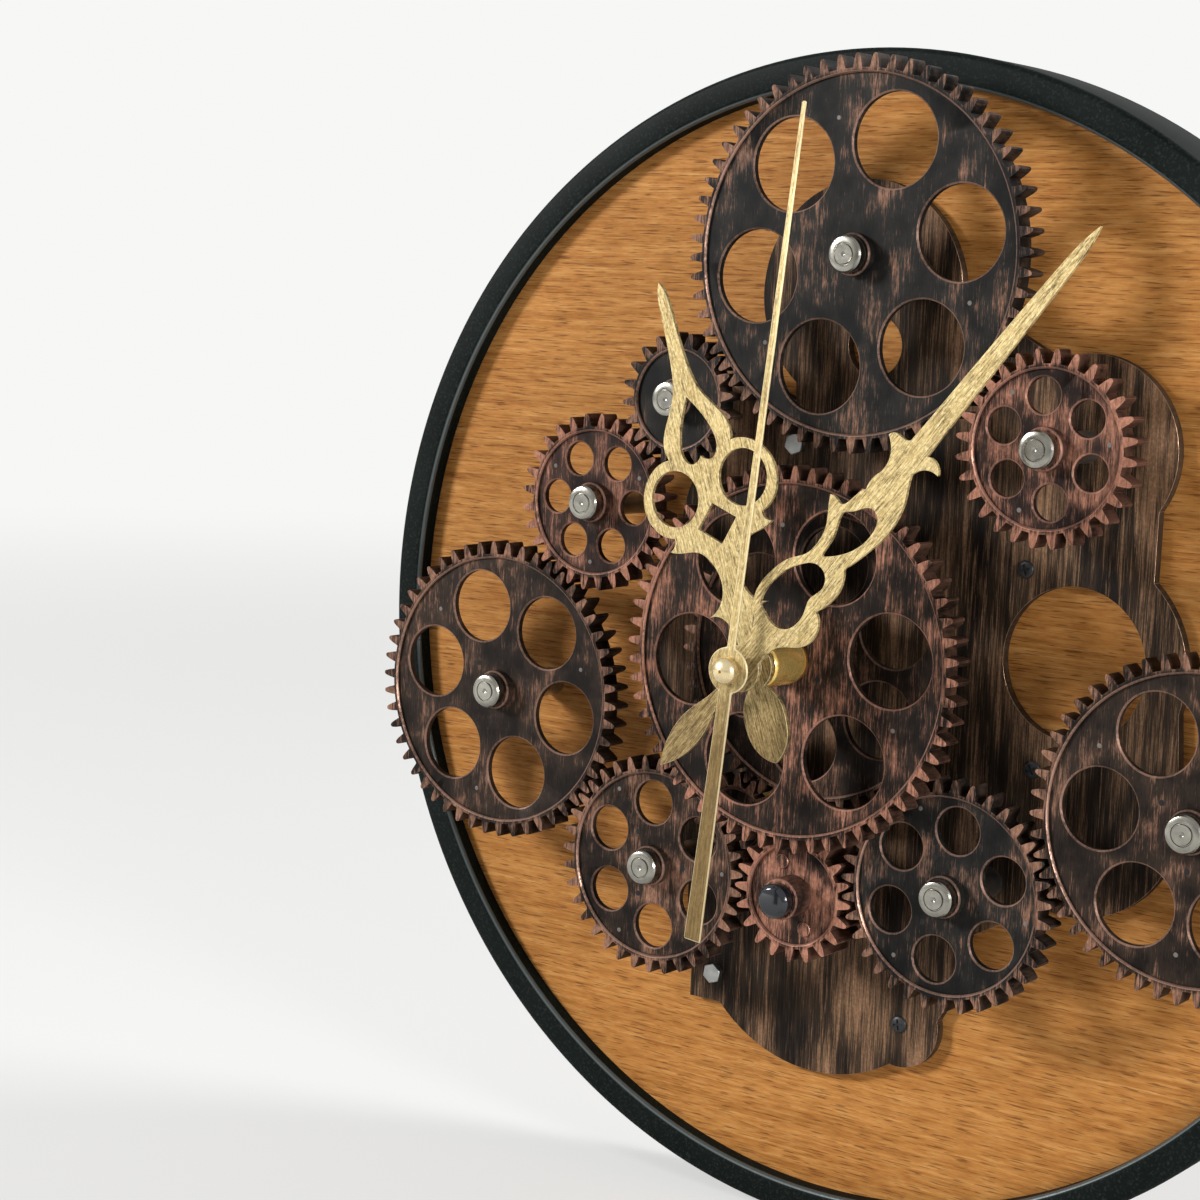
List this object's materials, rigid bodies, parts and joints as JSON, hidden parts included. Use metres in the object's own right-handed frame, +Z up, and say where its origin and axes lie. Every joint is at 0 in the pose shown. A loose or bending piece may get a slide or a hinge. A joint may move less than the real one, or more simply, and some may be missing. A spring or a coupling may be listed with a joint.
{
  "type": "wall clock with moving gears",
  "caption": "Round wall clock: black metal ring, oak panel, copper-rubbed gear plate and a train of turning gears on pins, gold filigree hands.",
  "frame": {"origin": "middle of the keyhole's round entry, in the plane of the wall", "axes": "+Y into the wall, so the clock faces -Y; +Z up; +X to the right seen from the front"},
  "size_m": [0.312, 0.0832, 0.312],
  "materials": {
    "rim_black": "powder coated, slightly rough",
    "panel_oak": "oiled veneer, grain across",
    "plate_dark": "black with brushed copper streaks",
    "wheel_dark": "black with copper-rubbed edges",
    "wheel_brown": "dark brown with copper-rubbed edges",
    "wheel_copper": "copper-rubbed brown",
    "pin_nickel": "turned, satin",
    "steel": "zinc plated",
    "black_screw": "blackened",
    "brass": "turned, polished",
    "hand_gold": "antique gold, brushed",
    "cap_black": "gloss",
    "movement_black": "fine grained",
    "movement_grey": "fine grained",
    "tube_plastic": "natural",
    "cell_sleeve": "printed sleeve, plain",
    "contact_spring": "nickel plated",
    "board_green": "lacquered",
    "coil_copper": "enamelled wire",
    "wire_red": "insulation",
    "wire_black": "insulation"
  },
  "bodies": {
    "clock_body": {"rim_ring": "rim_black", "wood_panel": "panel_oak", "gear_plate": "plate_dark", "plate_screws": "black_screw", "plate_bolts": "steel", "pivot_pins": "pin_nickel", "pivot_posts": "steel", "pivot_nuts": "steel", "idler_bush": "brass", "panel_clips": "steel", "clip_screws": "brass", "hanger_bracket": "steel", "hanger_screws": "brass", "threaded_bushing": "brass", "spacer_tube": "brass", "sleeve_nut": "brass", "movement_case": "movement_black", "movement_cover": "movement_black", "circuit_board": "board_green", "stepper_coil": "coil_copper", "clock_battery": "cell_sleeve", "clock_contacts": "contact_spring", "motor_gearbox": "movement_black", "motor_can": "steel", "motor_screws": "brass", "motor_battery_box": "movement_black", "motor_battery_lid": "movement_black", "motor_batteries": "cell_sleeve", "motor_contacts": "contact_spring", "switch_case": "movement_black", "motor_wire_black": "wire_black", "motor_wire_red": "wire_red"},
    "centre_wheels": {"centre_wheel": "wheel_brown", "centre_wheel_rear": "wheel_brown", "centre_tube": "brass"},
    "drive_shaft": {"drive_pinion": "wheel_copper", "drive_rivets": "wheel_copper", "motor_shaft": "steel", "shaft_cap": "cap_black"},
    "idler": {"idler_pinion": "wheel_brown", "idler_axle": "steel"},
    "top": {"top_wheel": "wheel_dark"},
    "upper_right": {"upper_right_wheel": "wheel_copper"},
    "right": {"right_wheel": "wheel_dark"},
    "lower_right": {"lower_right_wheel": "wheel_dark"},
    "lower_left": {"lower_left_wheel": "wheel_brown"},
    "left": {"left_wheel": "wheel_brown"},
    "upper_left": {"upper_left_wheel": "wheel_copper"},
    "upper_left_small": {"upper_left_pinion": "wheel_brown"},
    "hour": {"hour_hand": "hand_gold", "hour_tube": "tube_plastic"},
    "minute": {"minute_hand": "hand_gold", "minute_tube": "brass"},
    "second": {"second_hand": "hand_gold", "second_shaft": "steel", "second_cap": "pin_nickel"},
    "knob": {"setting_knob": "movement_grey"},
    "slider": {"switch_slider": "movement_grey"}
  },
  "joints": [
    {"name": "centre_wheels_spin", "type": "hinge", "parent": "clock_body", "child": "centre_wheels", "pos_m": [0, 0, -0.13], "axis": [0, 1, 0], "continuous": true},
    {"name": "drive_shaft_spin", "type": "hinge", "parent": "clock_body", "child": "drive_shaft", "pos_m": [0.0007, 0, -0.19217], "axis": [0, 1, 0], "continuous": true},
    {"name": "idler_spin", "type": "hinge", "parent": "clock_body", "child": "idler", "pos_m": [-0.02299, 0, -0.17687], "axis": [0, 1, 0], "continuous": true},
    {"name": "lower_left_spin", "type": "hinge", "parent": "clock_body", "child": "lower_left", "pos_m": [-0.0443, 0, -0.1916], "axis": [0, 1, 0], "continuous": true},
    {"name": "left_spin", "type": "hinge", "parent": "clock_body", "child": "left", "pos_m": [-0.09981, 0, -0.15062], "axis": [0, 1, 0], "continuous": true},
    {"name": "upper_left_spin", "type": "hinge", "parent": "clock_body", "child": "upper_left", "pos_m": [-0.06861, 0, -0.09543], "axis": [0, 1, 0], "continuous": true},
    {"name": "upper_left_small_spin", "type": "hinge", "parent": "clock_body", "child": "upper_left_small", "pos_m": [-0.04233, 0, -0.06608], "axis": [0, 1, 0], "continuous": true},
    {"name": "top_spin", "type": "hinge", "parent": "clock_body", "child": "top", "pos_m": [0.00974, 0, -0.02718], "axis": [0, 1, 0], "continuous": true},
    {"name": "upper_right_spin", "type": "hinge", "parent": "clock_body", "child": "upper_right", "pos_m": [0.06534, 0, -0.07197], "axis": [0, 1, 0], "continuous": true},
    {"name": "lower_right_spin", "type": "hinge", "parent": "clock_body", "child": "lower_right", "pos_m": [0.04505, 0, -0.18458], "axis": [0, 1, 0], "continuous": true},
    {"name": "right_spin", "type": "hinge", "parent": "clock_body", "child": "right", "pos_m": [0.10875, 0, -0.15804], "axis": [0, 1, 0], "continuous": true},
    {"name": "second_spin", "type": "hinge", "parent": "clock_body", "child": "second", "pos_m": [0, 0, -0.13], "axis": [0, 1, 0], "continuous": true},
    {"name": "minute_spin", "type": "hinge", "parent": "clock_body", "child": "minute", "pos_m": [0, 0, -0.13], "axis": [0, 1, 0], "continuous": true},
    {"name": "hour_spin", "type": "hinge", "parent": "clock_body", "child": "hour", "pos_m": [0, 0, -0.13], "axis": [0, 1, 0], "continuous": true},
    {"name": "knob_spin", "type": "hinge", "parent": "clock_body", "child": "knob", "pos_m": [-0.0168, 0, -0.11309], "axis": [0, 1, 0], "continuous": true},
    {"name": "switch_slide", "type": "slide", "parent": "clock_body", "child": "slider", "axis": [0, 0, 1], "range_m": [0, 0.004]}
  ],
  "couplings": [
    {"joint": "drive_shaft_spin", "follows": "centre_wheels_spin", "ratio": 2.5},
    {"joint": "idler_spin", "follows": "centre_wheels_spin", "ratio": -3.5714},
    {"joint": "lower_left_spin", "follows": "centre_wheels_spin", "ratio": -1.4286},
    {"joint": "left_spin", "follows": "centre_wheels_spin", "ratio": 1},
    {"joint": "upper_left_spin", "follows": "centre_wheels_spin", "ratio": -1.7857},
    {"joint": "upper_left_small_spin", "follows": "centre_wheels_spin", "ratio": 2.5},
    {"joint": "top_spin", "follows": "centre_wheels_spin", "ratio": -0.83333},
    {"joint": "upper_right_spin", "follows": "centre_wheels_spin", "ratio": 1.7857},
    {"joint": "lower_right_spin", "follows": "centre_wheels_spin", "ratio": -1.4286},
    {"joint": "right_spin", "follows": "centre_wheels_spin", "ratio": 1},
    {"joint": "minute_spin", "follows": "second_spin", "ratio": 0.016667},
    {"joint": "hour_spin", "follows": "second_spin", "ratio": 0.0013889},
    {"joint": "knob_spin", "follows": "second_spin", "ratio": -0.05}
  ]
}
